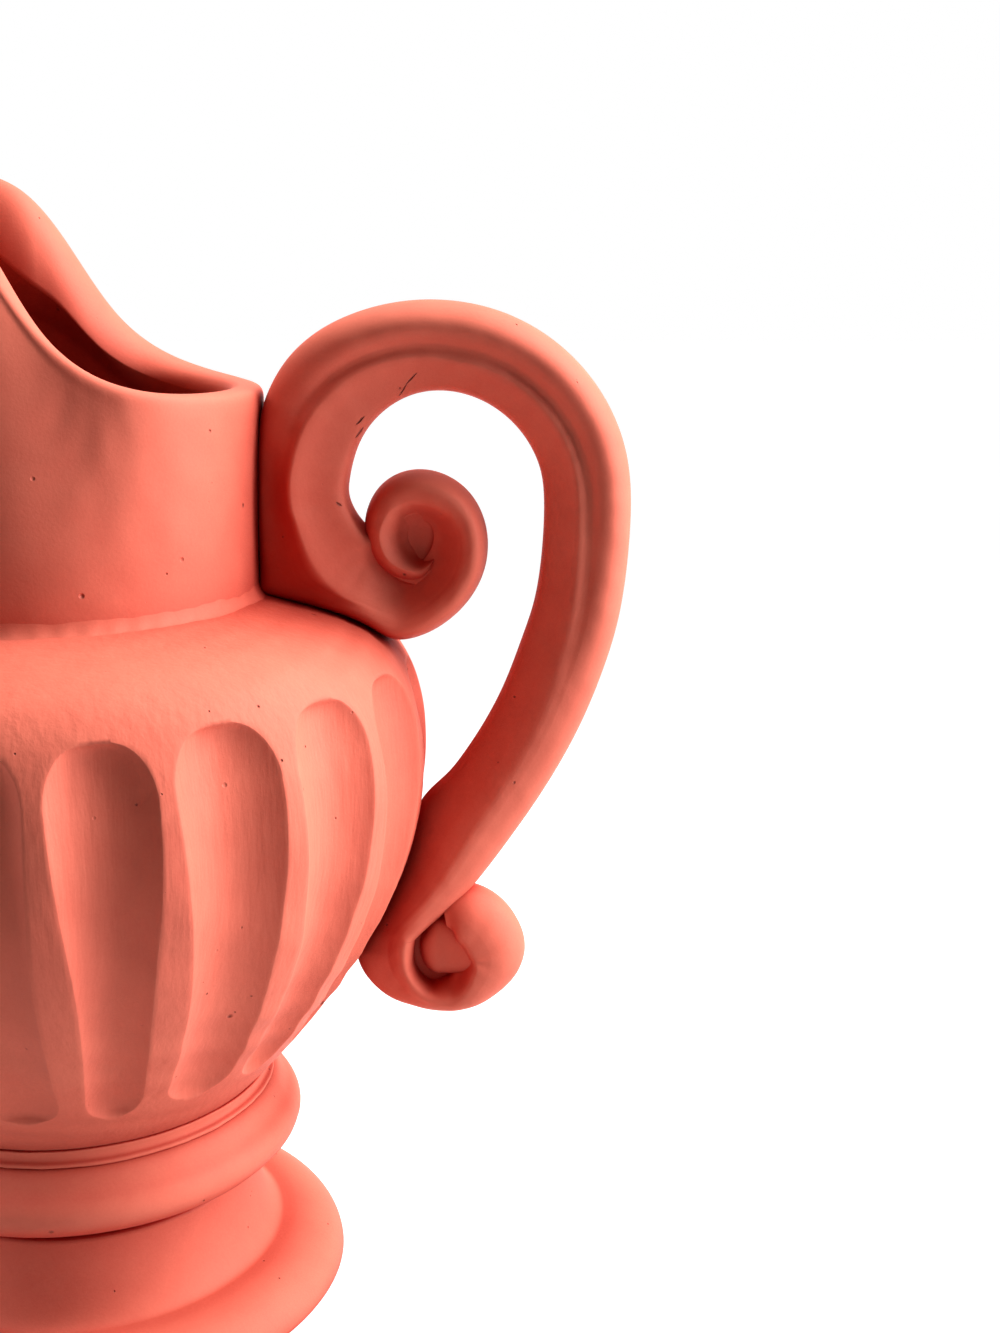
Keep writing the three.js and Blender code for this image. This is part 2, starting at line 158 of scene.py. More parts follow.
def closed_mesh(name, grid, wrap_rows):
    """A closed mesh from a grid of points in millimetres (rows, columns, 3). Each row closes on itself.
    The rows close too, or the first and the last end in a middle point. Faces are turned outwards by
    the sign of the enclosed volume, the sum of a . (b x c) over all triangles."""
    rows, columns, _ = grid.shape
    points = grid.reshape(-1, 3)
    i = np.arange(rows if wrap_rows else rows - 1)[:, None] * columns
    below = (i + columns) % (rows * columns)
    j = np.arange(columns)[None, :]
    k = (j + 1) % columns
    quads = np.stack([i + j, i + k, below + k, below + j], -1).reshape(-1, 4)
    fans = np.zeros((0, 3), int)
    if not wrap_rows:
        ends = np.array([grid[0].mean(0), grid[-1].mean(0)])
        first, last = len(points), len(points) + 1
        points = np.concatenate([points, ends])
        j, k = j[0], k[0]
        start = (rows - 1) * columns
        fans = np.concatenate([
            np.stack([np.full(columns, first), k, j], -1),
            np.stack([np.full(columns, last), start + j, start + k], -1),
        ])
    triangles = np.concatenate([quads[:, [0, 1, 2]], quads[:, [0, 2, 3]], fans])
    a, b, c = (points[triangles[:, n]] for n in range(3))
    if np.einsum("ij,ij->i", a, np.cross(b, c)).sum() < 0:
        quads, fans = quads[:, ::-1], fans[:, ::-1]
    mesh = bpy.data.meshes.new(name)
    mesh.vertices.add(len(points))
    placed = (points + [axis_x, 0, 0]) * MM
    mesh.vertices.foreach_set("co", placed.astype(np.float32).ravel())
    corners = np.concatenate([quads.ravel(), fans.ravel()])
    sizes = np.concatenate([np.full(len(quads), 4), np.full(len(fans), 3)])
    mesh.loops.add(len(corners))
    mesh.loops.foreach_set("vertex_index", corners.astype(np.int32))
    mesh.polygons.add(len(sizes))
    starts = np.concatenate([[0], np.cumsum(sizes)[:-1]])
    mesh.polygons.foreach_set("loop_start", starts.astype(np.int32))
    mesh.polygons.foreach_set("loop_total", sizes.astype(np.int32))
    mesh.polygons.foreach_set("use_smooth", np.ones(len(sizes), bool))
    mesh.update(calc_edges=True)
    mesh.validate()
    return mesh


def joined(name, *meshes):
    """One mesh from several."""
    whole = bmesh.new()
    for mesh in meshes:
        whole.from_mesh(mesh)
    made = bpy.data.meshes.new(name)
    whole.to_mesh(made)
    whole.free()
    return made


def piece(name, mesh, material, node):
    """Shows a mesh in the place of a CAD node."""
    made = bpy.data.objects.new(name, mesh)
    bpy.context.scene.collection.objects.link(made)
    mesh.materials.append(material)
    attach(made, "root")
    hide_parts(node)


def polar(radius, angle, height):
    """Points from radius, angle round the axis from the handle side and height, as one array."""
    radius, angle, height = np.broadcast_arrays(radius, angle, height)
    return np.stack([radius * np.cos(angle), radius * np.sin(angle), height], -1)


def ellipse_arc(middle, size, start, end, steps):
    """(radius, height) points along part of an ellipse, its angles in degrees from straight outwards."""
    angle = np.radians(np.linspace(start, end, steps + 1))
    return np.stack([middle[0] + size[0] * np.cos(angle), middle[1] + size[1] * np.sin(angle)], -1)


def dense(outline, spacing):
    """A closed outline of (radius, height) points, with more points along its straight stretches."""
    outline = np.array(outline, float)
    made = []
    for a, b in zip(outline, np.roll(outline, -1, 0)):
        steps = max(1, int(np.hypot(*(b - a)) / spacing))
        made.append(a + (b - a) * np.arange(steps)[:, None] / steps)
    return np.concatenate(made)


def rounded(outline, passes):
    """A closed outline softened by averaging each point with its neighbours, a few times over."""
    for _ in range(passes):
        outline = (np.roll(outline, 1, 0) + 2 * outline + np.roll(outline, -1, 0)) / 4
    return outline


# Bowl: the side gives radius by height up to the widest part, the shoulder gives height by radius
def side_radius(z):
    """Widens from the seat by 1 - t^1.93, t being the share of the way down from the widest part."""
    down = np.clip((widest - z) / (widest - bowl_base), 0, 1)
    return seat_radius + (bowl_radius - seat_radius) * (1 - down**1.93)


def shoulder_height(r):
    """Falls evenly outwards from the neck, and by 1 - sqrt(1 - t^5) round to the widest part, t being
    the share of the way out."""
    out = np.clip((r - neck_radius) / (bowl_radius - neck_radius), 0, 1)
    round_height = bowl_top - widest - shoulder_fall
    return bowl_top - shoulder_fall * out - round_height * (1 - np.sqrt(1 - out**5))


shoulder_r = neck_radius + (bowl_radius - neck_radius) * np.sin(np.linspace(math.pi / 2, 0, 60)) ** 0.6
shoulder_z = shoulder_height(shoulder_r)


def bowl_radius_at(z):
    """The radius at any height, from the side below the widest part and from the shoulder above."""
    return np.where(z < widest, side_radius(z), np.interp(z, shoulder_z, shoulder_r))


# The flutes that the photograph shows, counted round from the handle: how much wider, how much higher in
# millimetres, how far the foot leans towards the handle in degrees, how much narrower at the foot. The
# others differ at random, by the spread given for each of the four.
seen_flutes = {15: (0.03, 0, 0.8, -0.08), 16: (0, 0, 1.6, 0.16), 17: (0.06, 0.6, 2.4, -0.05),
               18: (0.05, 0.4, 0.6, 0.12), 19: (0.02, 0, 0, 0)}
flute_spread = [[0.03], [1.1], [0.7], [0.05]]
flute_pitch = 360 / flute_count
# By the share of a flute's height: half its width in pitches, and its depth as a share of flute_depth
flute_half_width = curve_through([(0, 0.4), (0.17, 0.365), (0.4, 0.35), (0.65, 0.385), (0.9, 0.42),
                                  (1, 0.43)])
flute_depth_share = curve_through([(0, 0.66), (0.25, 0.84), (0.55, 0.98), (0.8, 1.12), (1, 1.12)])


def bowl_outline():
    """Radius, height and 1 on the outer face or 0 elsewhere, each as a column. The outline runs from
    under the seat up the side, over the shoulder, round the mouth, down the hollow inside, a wall's
    thickness in from the side, and over the floor."""
    side_z = np.linspace(bowl_base, widest, 84)
    rim_r = shoulder_r[1:]
    outer = np.stack([np.concatenate([side_radius(side_z), rim_r]),
                      np.concatenate([side_z, shoulder_height(rim_r)])], -1)
    under = [(6, bowl_base), (20, bowl_base), (seat_radius - 2, bowl_base)]
    mouth = neck_radius - neck_wall
    top = [(neck_radius - 4, bowl_top), (mouth, bowl_top - 1), (mouth, bowl_top - 4),
           (mouth + 5, bowl_top - 9), (0.5 * (mouth + bowl_radius), bowl_top - 12.5)]
    inner_z = np.linspace(bowl_top - 2.2 * bowl_wall, bowl_base + 2 * bowl_wall, 22)
    inner_r = bowl_radius_at(inner_z) - bowl_wall
    inner_r[:2] -= 6, 1.5  # rounds the corner under the shoulder
    floor = [(seat_radius - 5, bowl_base + 1.3 * bowl_wall), (seat_radius - 16, bowl_base + bowl_wall),
             (8, bowl_base + bowl_wall)]
    outline = np.concatenate([under, outer, top, np.stack([inner_r, inner_z], -1), floor])
    outside = np.zeros((len(outline), 1))
    outside[len(under):len(under) + len(outer)] = 1
    return outline[:, :1], outline[:, 1:], outside


def bowl_mesh():
    """Rows follow the outline. Columns run round, more of them over the edges of the flutes. A flute's
    depth d is (1 - u^2)^0.85 across, u being -1 to 1 from edge to edge, times e^0.9, e being the root
    of an ellipse at its crown and heel, which also draws its edges in. Its edge is softened to
    sqrt(d^2 + 0.4^2) - 0.4. Each flute is carved a little wider, higher or more to one side than the
    next."""
    random = np.random.default_rng(7)
    wider, higher, lean, narrow = random.normal(0, 1, (4, flute_count)) * flute_spread
    for flute, seen in seen_flutes.items():
        wider[flute], higher[flute], lean[flute], narrow[flute] = seen
    hollow_columns, rib_columns = 19, 6
    across = np.concatenate([-np.cos(np.linspace(0, math.pi, hollow_columns)),
                             np.linspace(1, 2, rib_columns + 2)[1:-1]])
    flute = np.repeat(np.arange(flute_count), len(across))
    u = np.tile(across, flute_count)
    rib = u > 1
    r, z, outside = bowl_outline()

    up = (z - flute_foot) / (flute_top - flute_foot)
    crown_at = flute_top + higher[flute]
    heel_at = flute_foot + 12 * wider[flute]
    crown = np.clip((z - crown_at + flute_crown) / flute_crown, 0, 1)
    heel = np.clip((heel_at + flute_heel - z) / flute_heel, 0, 1)
    ends = np.sqrt((1 - crown**2) * (1 - heel**2)) * outside
    half = flute_half_width(up) * (1 + wider[flute] - narrow[flute] * smooth_step(up, 0.8, 0.2))
    half = half * (0.3 + 0.7 * ends)

    # The place of each column, in flutes round from the handle. A rib's columns lie between the edges of
    # the flutes beside it, and above and below the flutes all columns are evenly spaced.
    place = flute + half * np.clip(u, -1, 1) + lean[flute] / flute_pitch * (0.55 - up)
    last_edge = place[:, np.roll(rib, -1) & ~rib].repeat(rib_columns, 1)
    next_edge = np.roll(place[:, u == -1], -1, 1)
    next_edge[:, -1] += flute_count
    place[:, rib] = lerp(last_edge, next_edge.repeat(rib_columns, 1), u[rib] - 1)
    plain = smooth_step(np.abs(up - 0.5), 0.56, 0.75) * outside + 1 - outside
    even = flute + np.where(rib, 0.4 + (u - 1) * 0.2, 0.4 * u)
    angle = lerp(place, even, plain) / flute_count * 2 * math.pi + flute_turn

    edge_softness, set_back = 0.4, 0.3  # set_back keeps the uneven side within the construction's
    depth = flute_depth * flute_depth_share(up) * ends**0.9 * (1 - np.clip(np.abs(u), 0, 1) ** 2) ** 0.85
    depth = np.sqrt(depth**2 + edge_softness**2) - edge_softness
    arc = r * angle
    uneven = 0.22 * ripple(arc, z, 26, seed=3) + 0.05 * ripple(arc, z * 0.4, 5, seed=5) * ends
    fade = smooth_step(z, bowl_base, bowl_base + 6) * smooth_step(r, neck_radius, neck_radius + 6)
    grid = polar(r - depth + (uneven - set_back) * fade * outside, angle, z)
    return closed_mesh("bowl", grid, wrap_rows=False)


# Neck: its shape goes by the degrees round from the handle, the same to both sides
def step_at(middle, spread):
    """An S-shaped step from 0 to 1 over 0 to 180 degrees, steepest at the middle: 1 / (1 + e^-x), x
    being the degrees past the middle divided by the spread, stretched to end at 0 and 1."""
    def raw(degrees):
        """The step before it is stretched."""
        return 1 / (1 + np.exp((middle - degrees) / spread))
    return lambda degrees: (raw(degrees) - raw(0)) / (raw(180) - raw(0))


pinch_step = step_at(68, 7.2)
rim_step = step_at(85, 11.2)
spout_start = 103.6
wall_foot = neck_radius - neck_wall / 2


def rim_radius(degrees):
    """The middle of the lip: flared by the handle, pinched in by a step at the sides, and reaching out
    to the spout by (1 - cos(pi t)) / 2, t being the share of the way from the spout's start."""
    flared = wall_foot + neck_flare
    turn = np.clip((degrees - spout_start) / (180 - spout_start), 0, 1)
    reach = spout_reach - (flared - neck_pinch)
    return flared - neck_pinch * pinch_step(degrees) + reach * (1 - np.cos(turn * math.pi)) / 2


def wall_radius(degrees, share):
    """The middle of the wall: it leans from the foot to the lip with the square of the height."""
    return lerp(wall_foot, rim_radius(degrees), share**2)


def neck_mesh():
    """A wall lofted round the pot. The lip is a quarter round outside, squarer by the handle, and a
    quarter ellipse inside, which reaches down to a ledge at the pinched sides and turns back under to
    the wall. The ledge and its drop swell along a bell, e^-x^2, round from the handle."""
    degrees = np.linspace(0, 360, 360, endpoint=False)[None, :]
    side = np.minimum(degrees, 360 - degrees)
    half = neck_wall / 2
    rim = neck_base + lerp(low_rim, spout_height, rim_step(side))
    wall_top = rim - half
    ledge = half + lip_ledge * np.exp(-(((side - 98) / 40) ** 2))
    drop = half + (lip_drop - half) * np.exp(-(((side - 110) / 28) ** 2))
    from_handle = smooth_step(side, 40, 95)

    up = np.linspace(0, 1, 44)[:-1, None]
    outer_turn = np.radians(np.linspace(0, 90, 17))[:, None]
    outer_corner = lerp(0.5, 1, from_handle)
    inner_turn = np.radians(np.linspace(90, 180, 21))[1:, None]
    inner_corner = lerp(0.7, 1, from_handle)
    under_ledge = (rim - drop - 0.8 * ledge - neck_base) / (wall_top - neck_base)
    down = np.linspace(1, 0, 26)[:, None] * under_ledge
    r = np.concatenate([
        wall_radius(side, up) + half,
        rim_radius(side) + half * np.abs(np.cos(outer_turn)) ** outer_corner,
        rim_radius(side) - ledge * np.abs(np.cos(inner_turn)) ** inner_corner,
        wall_radius(side, down) - half,
    ])
    z = np.concatenate([
        lerp(neck_base, wall_top, up),
        wall_top + half * np.sin(outer_turn) ** outer_corner,
        rim - drop + drop * np.sin(inner_turn),
        lerp(neck_base, wall_top, down),
    ])
    arc = r * np.radians(degrees)
    fade = smooth_step(z, neck_base, neck_base + 8)
    uneven = 0.28 * ripple(arc, 0.25 * z, 32, seed=11) + 0.07 * ripple(arc, 0.6 * z, 9, seed=12)
    return closed_mesh("neck", polar(r + uneven * fade, np.radians(degrees), z), wrap_rows=True)


def ring_mesh(name, outline, uneven, seed):
    """A closed outline of (radius, height) turned round the axis, its radius uneven by some amount."""
    angle = np.linspace(0, 2 * math.pi, 300, endpoint=False)[:, None]
    r, z = outline[:, 0][None, :], outline[:, 1][None, :]
    return closed_mesh(name, polar(r + uneven * ripple(r * angle, z, 24, seed), angle, z), wrap_rows=True)


def knop_mesh():
    """A ring whose side is an ellipse from straight down to 45 degrees up, under a small bevel."""
    middle = knop_base + 0.515 * (knop_top - knop_base)
    outline = np.concatenate([
        [(knop_bore, knop_base), (stem_radius, knop_base)],
        ellipse_arc((knop_radius - knop_round_width, middle),
                    (knop_round_width, knop_round_height / 2), -90, 45, 30),
        [(seat_radius + 5.4 * bead_radius, knop_top - bead_radius),
         (seat_radius + 4.4 * bead_radius, knop_top), (knop_bore, knop_top)],
    ])
    return ring_mesh("knop", rounded(dense(outline, 0.9), 3), 0.12, seed=21)


def foot_mesh():
    """A hollow quarter ellipse spreads from the stem to the edge, whose round is part of another, over
    a hollow underside within the rim that it stands on."""
    edge_top = foot_radius - foot_edge_width
    recess = foot_radius - foot_rim_width
    sweep = (edge_top - stem_radius, foot_height - foot_edge_height)
    outline = np.concatenate([
        [(stem_radius - foot_wall, foot_height)],
        ellipse_arc((edge_top, foot_height), sweep, 180, 270, 24),
        ellipse_arc((edge_top, 0), (foot_edge_width, foot_edge_height), 80, 3, 24),
        [(foot_radius - 0.4, 0), (recess, 0), (recess - 0.25 * foot_wall, 0.3 * foot_wall),
         (stem_radius, foot_edge_height - 0.6 * foot_wall),
         (stem_radius - foot_wall, foot_edge_height + 0.3 * foot_wall)],
    ])
    return ring_mesh("foot", dense(outline, 1.2), 0.0, seed=23)


# The bead's outline: how far outwards from the seat's radius and upwards from the knop's top
bead_outline = [(1, -0.4), (4.9, -0.4), (5.3, 0.25), (4.95, 0.85), (4.3, 1.0), (3.8, 1.4), (3.8, 2.4),
                (4.3, 3.9), (2.5, 3.9)]


def bead_mesh():
    """Slip squeezed out between bowl and knop: an outline turned round the axis, swelling and shrinking
    about its middle in waves of three lengths."""
    outline = rounded(dense([(seat_radius + out, knop_top + up) for out, up in bead_outline], 0.3), 3)
    middle_r, middle_z = outline.mean(0)
    angle = np.linspace(0, 2 * math.pi, 720, endpoint=False)[:, None]
    arc = middle_r * angle
    wave = (ripple(arc, 0, 18, seed=31) + 0.6 * ripple(arc, 0, 5, seed=32)
            + 0.35 * ripple(arc, 0, 2, seed=33))
    scale = 1 - 0.06 * (1 + 0.5 * wave)
    r = lerp(middle_r, outline[:, 0][None, :], scale)
    z = lerp(middle_z, outline[:, 1][None, :], scale)
    return closed_mesh("seat_slip", polar(r, angle, z), wrap_rows=True)


def fillet_mesh():
    """The slip wiped into the corner between neck and shoulder: a hollow quarter ellipse, whose two
    radii swell and shrink on the way round, and whose ends and back lie just inside both walls."""
    columns, sunk = 900, 0.15
    angle = np.linspace(0, 2 * math.pi, columns, endpoint=False)[:, None]
    arc = neck_radius * angle
    wave = 0.6 * ripple(arc, 0, 24, seed=41) + 0.4 * ripple(arc, 0, 9, seed=42)
    reach = slip_reach * (1.05 + 0.22 * wave)
    foot_z = shoulder_height(neck_radius + reach) - sunk
    turn = np.radians(np.linspace(0, 90, 12))[None, :]
    r = neck_radius - sunk + reach * (1 - np.cos(turn))
    rise = neck_base + slip_height * (1.3 + 0.3 * wave) - foot_z
    z = foot_z + rise * (1 - np.sin(turn))
    crumbs = 0.05 * ripple(arc, 4 * turn, 3.5, seed=44) * np.sin(2 * turn)
    back_r = [neck_radius - 1.2, neck_radius - 1.2]
    back_z = [bowl_top - 1.5, neck_base + slip_height]
    r = np.concatenate([r + crumbs, np.broadcast_to(back_r, (columns, 2))], 1)
    z = np.concatenate([z + crumbs, np.broadcast_to(back_z, (columns, 2))], 1)
    return closed_mesh("neck_slip", polar(r, angle, z), wrap_rows=True)


# Handle: stations of the strap's middle and width, the same as in the construction. The scroll's are
# x, z and width, as shares of its reach from the neck's foot. The arm's are the share of the straight
# way from arch to curl, the bow outwards as a share of it, and the width as a share of the strap's.
# The curl's are the degrees round its middle, and the inner and outer radius as shares of its own.
scroll = [
    (0.756, 0.146, 0.087), (0.69, 0.096, 0.13), (0.575, 0.146, 0.149), (0.526, 0.268, 0.161),
    (0.582, 0.405, 0.183), (0.709, 0.448, 0.187), (0.849, 0.378, 0.187), (0.9, 0.214, 0.2),
    (0.836, 0.03, 0.227), (0.643, -0.113, 0.225), (0.478, -0.072, 0.257), (0.34, 0.009, 0.333),
    (0.248, 0.14, 0.384), (0.204, 0.378, 0.38),
]
arm = [
    (0.18, 0.067, 1), (0.3, 0.084, 1.03), (0.43, 0.095, 1.02), (0.58, 0.085, 1.03), (0.72, 0.0605, 1.06),
    (0.85, 0.05, 0.9), (0.94, 0.0226, 0.775),
]
curl = [
    (150, 0.47, 1.29), (180, 0.445, 1.25), (210, 0.467, 1.09), (240, 0.478, 0.92),
    (270, 0.456, 0.85), (315, 0.44, 0.895), (360, 0.44, 1.015), (390, 0.4, 0.98), (420, 0.41, 0.95),
    (440, 0.43, 0.92), (456, 0.47, 0.84),
]
first_curl_station = 30
curl_z = widest - curl_drop
curl_x = float(bowl_radius_at(curl_z)) + 1.18 * curl_radius


def handle_stations():
    """Rows of x, z, width and station from the scroll's end to the curl's. The arch is a circle that
    leans by the sine of twice the angle, and swells along a bell, e^-x^2, beside the leg. The curl's
    rows are 9 degrees apart, and their stations have parts of a number."""
    rows = [(neck_radius + a * volute_reach, bowl_top + b * volute_reach, width * volute_reach)
            for a, b, width in scroll]
    arch_x = neck_radius + 2 * seat_gap + strap_width / 2 + arch_radius
    arch_z = bowl_top + arch_height
    for degrees in range(176, -9, -23):
        angle = math.radians(degrees)
        radius = arch_radius - arch_lean * math.sin(2 * angle)
        swell = 1 + 0.06 * math.exp(-(((degrees - 140) / 25) ** 2))
        rows.append((arch_x + radius * math.cos(angle), arch_z + radius * math.sin(angle),
                     swell * strap_width))

    turned, inner_radii, outer_radii = zip(*curl)
    stations = range(first_curl_station, first_curl_station + len(curl))
    inner_at, outer_at, station_at = (curve_through(list(zip(turned, values)))
                                      for values in (inner_radii, outer_radii, stations))
    curled = []
    for degrees in range(150, 457, 9):
        inner, outer = float(inner_at(degrees)), float(outer_at(degrees))
        angle, radius = math.radians(degrees), curl_radius * (inner + outer) / 2
        curled.append((curl_x + radius * math.cos(angle), curl_z + radius * math.sin(angle),
                       curl_radius * (outer - inner), float(station_at(degrees))))

    start, end = np.array(rows[-1][:2]), np.array(curled[0][:2])
    line = end - start
    outward = np.array([-line[1], line[0]])
    for part, bow, width in arm:
        x, z = start + part * line + bow * outward
        rows.append((x, z, width * strap_width))
    return np.array([(*row, station) for station, row in enumerate(rows)] + curled)


def through_stations(rows, t):
    """Catmull-Rom spline through the stations: a cubic between neighbours, whose slope at each station
    is half the way between the two stations beside it. t runs from 0 to 1, alike for each span."""
    last = len(rows) - 1
    padded = np.concatenate([[2 * rows[0] - rows[1]], rows, [2 * rows[-1] - rows[-2]]])
    i = np.minimum((t * last).astype(int), last - 1)
    f = (t * last - i)[:, None]
    before, a, b, after = (padded[i + n] for n in range(4))
    slope_a, slope_b = (b - before) / 2, (after - a) / 2
    return ((2 * a - 2 * b + slope_a + slope_b) * f**3
            + (3 * b - 3 * a - 2 * slope_a - slope_b) * f**2 + slope_a * f + a)


def softened(values, reach):
    """A running average of rows, weighted by a bell of the given reach in rows."""
    offsets = np.arange(-3 * reach, 3 * reach + 1)
    weights = np.exp(-((offsets / reach) ** 2) / 2)
    weights /= weights.sum()
    padded = np.concatenate([2 * values[:1] - values[3 * reach:0:-1], values,
                             2 * values[-1:] - values[-2:-3 * reach - 2:-1]])
    return np.stack([np.convolve(padded[:, n], weights, "valid") for n in range(values.shape[1])], -1)


def clear_of_pot(edge):
    """Keeps an edge of the strap off the side of the bowl, and lets it press into neck and shoulder by
    no more than a hair."""
    x, z = edge.T
    below, on_shoulder = z < widest, (z < bowl_top) & (x < bowl_radius)
    share = np.clip((z - neck_base) / low_rim, 0, 1)
    neck_face = wall_radius(0, share) + neck_wall / 2 - 0.4
    beside = np.where(z > neck_base + low_rim, x, np.maximum(x, neck_face))
    new_x = np.where(below, np.maximum(x, bowl_radius_at(z) - 0.3 * flute_depth),
                     np.where(on_shoulder, x, beside))
    new_z = np.where(~below & on_shoulder, np.maximum(z, shoulder_height(x) - 0.3), z)
    return np.stack([new_x, new_z], -1)


# The face of the strap: the share of the depth by the place across, where 0 is the rounded edge, RIDGE
# the ridge line and 1 the thin edge. The arch has a lobe, a soft groove, a ridge and a sloping band. The
# leg beside the neck has a hollow flank, an arris and a hollow band. The scroll is a lobe that falls
# into its hollow, and the arm a lobe with a steep side towards the pot. The curl starts with a narrow
# rim and a wide slope, and ends in the dome of its bulb. The cup's rim ends the scroll.
RIDGE = 0.62
faces = {
    "arch": [(0, 0.02), (0.012, 0.26), (0.03, 0.42), (0.07, 0.62), (0.13, 0.79), (0.2, 0.91), (0.27, 0.96),
             (0.34, 0.95), (0.4, 0.89), (0.45, 0.81), (0.49, 0.765), (0.53, 0.76), (0.57, 0.79), (0.6, 0.82),
             (0.63, 0.83), (0.66, 0.805), (0.76, 0.65), (0.88, 0.47), (0.95, 0.35), (0.985, 0.22), (1, 0.02)],
    "leg": [(0, 0.12), (0.02, 0.34), (0.06, 0.46), (0.12, 0.505), (0.2, 0.53), (0.3, 0.585), (0.4, 0.69),
            (0.5, 0.835), (0.57, 0.945), (0.62, 0.98), (0.65, 0.95), (0.7, 0.87), (0.77, 0.775), (0.85, 0.71),
            (0.92, 0.665), (0.96, 0.6), (0.985, 0.42), (1, 0.02)],
    "scroll": [(0, 0.02), (0.02, 0.3), (0.06, 0.55), (0.13, 0.8), (0.24, 0.97), (0.34, 1), (0.46, 0.96),
               (0.55, 0.9), (0.62, 0.82), (0.7, 0.67), (0.8, 0.48), (0.9, 0.32), (1, 0.22)],
    "arm": [(0, 0.02), (0.012, 0.2), (0.03, 0.33), (0.09, 0.54), (0.17, 0.7), (0.26, 0.82), (0.36, 0.91),
            (0.46, 0.98), (0.54, 1), (0.6, 0.98), (0.7, 0.86), (0.8, 0.68), (0.9, 0.48), (0.97, 0.28),
            (1, 0.02)],
    "curl": [(0, 0.1), (0.03, 0.4), (0.09, 0.7), (0.17, 0.88), (0.26, 0.95), (0.36, 0.93), (0.5, 0.85),
             (0.62, 0.75), (0.75, 0.62), (0.88, 0.47), (0.95, 0.35), (0.985, 0.2), (1, 0.02)],
    "bulb": [(0, 0.4), (0.1, 0.47), (0.2, 0.58), (0.3, 0.74), (0.4, 0.89), (0.5, 0.97), (0.62, 1),
             (0.72, 0.97), (0.8, 0.9), (0.87, 0.78), (0.93, 0.6), (0.97, 0.42), (0.99, 0.25), (1, 0.02)],
    "cup": [(0, 0.06), (0.03, 0.34), (0.1, 0.55), (0.2, 0.71), (0.35, 0.87), (0.5, 0.97), (0.58, 1),
            (0.64, 0.97), (0.72, 0.82), (0.82, 0.54), (0.92, 0.3), (1, 0.18)],
}
# By station: the share of each face, the ridge's place across, how far the rounded and the thin edge
# reach further than in the construction, in millimetres, and the share of the depth
strap = [
    (0, {"cup": 1}, 0.5, -1.9, -1.9, 0.3), (0.4, {"cup": 1}, 0.5, -0.9, -0.9, 0.4),
    (1.1, {"cup": 1}, 0.5, 0, 0, 0.54), (2, {"cup": 1}, 0.46, 0, 1, 0.66),
    (3, {"cup": 0.8, "scroll": 0.2}, 0.5, 0, 1.5, 0.74), (5, {"cup": 0.2, "scroll": 0.8}, 0.72, 0, 1.5, 0.84),
    (7, {"scroll": 1}, 0.6, 0, 2, 0.9), (8, {"scroll": 1}, 0.58, 0, 2.5, 0.92),
    (9, {"scroll": 1}, 0.58, 0, 3, 0.94), (10, {"scroll": 0.9, "leg": 0.1}, 0.6, 0.5, 4, 0.95),
    (11, {"scroll": 0.4, "leg": 0.6}, 0.54, 3, 5.5, 0.97), (12, {"leg": 1}, 0.46, 8, 5, 1),
    (12.4, {"leg": 1}, 0.43, 6, 2.4, 1), (12.85, {"leg": 1}, 0.4, 3, 0.4, 1),
    (13.15, {"leg": 1}, 0.38, 2, 0, 1), (14, {"leg": 0.95, "arch": 0.05}, 0.37, 1.8, 0, 1),
    (15, {"leg": 0.6, "arch": 0.4}, 0.41, 2.6, 0, 1), (15.5, {"leg": 0.35, "arch": 0.65}, 0.45, 2.8, 0, 1),
    (16, {"leg": 0.15, "arch": 0.85}, 0.48, 2.2, 0, 1), (16.6, {"arch": 1}, 0.53, 1.1, 0, 1),
    (17.3, {"arch": 1}, 0.58, 0.3, 0, 1),
    (18, {"arch": 1}, 0.62, 0, 0, 1), (21, {"arch": 1}, 0.61, 0, 0, 1),
    (23, {"arch": 0.55, "arm": 0.45}, 0.58, 0, 0, 1), (24.5, {"arch": 0.1, "arm": 0.9}, 0.54, 0, 0, 1),
    (26.5, {"arm": 1}, 0.52, 0, 0, 1), (27, {"arm": 1}, 0.52, 0, 2, 1), (27.6, {"arm": 1}, 0.52, 0, 3, 1),
    (29, {"arm": 0.7, "curl": 0.3}, 0.48, 0, 0.5, 1), (30, {"curl": 1}, 0.45, 0, 0, 1),
    (32, {"curl": 1}, 0.45, 0, 0.5, 1), (33, {"curl": 0.7, "bulb": 0.3}, 0.5, 0, 0, 1),
    (34, {"curl": 0.4, "bulb": 0.6}, 0.5, 2.4, 0, 1), (34.6, {"bulb": 1}, 0.2, 4.4, 0, 1),
    (35.2, {"bulb": 1}, -0.06, 5.2, 0, 0.98), (36, {"bulb": 1}, -0.14, 5.6, 0, 0.95),
    (38, {"bulb": 1}, -0.08, 5.6, 0, 0.9), (40, {"bulb": 1}, 0.05, 3.6, 0, 0.66),
]


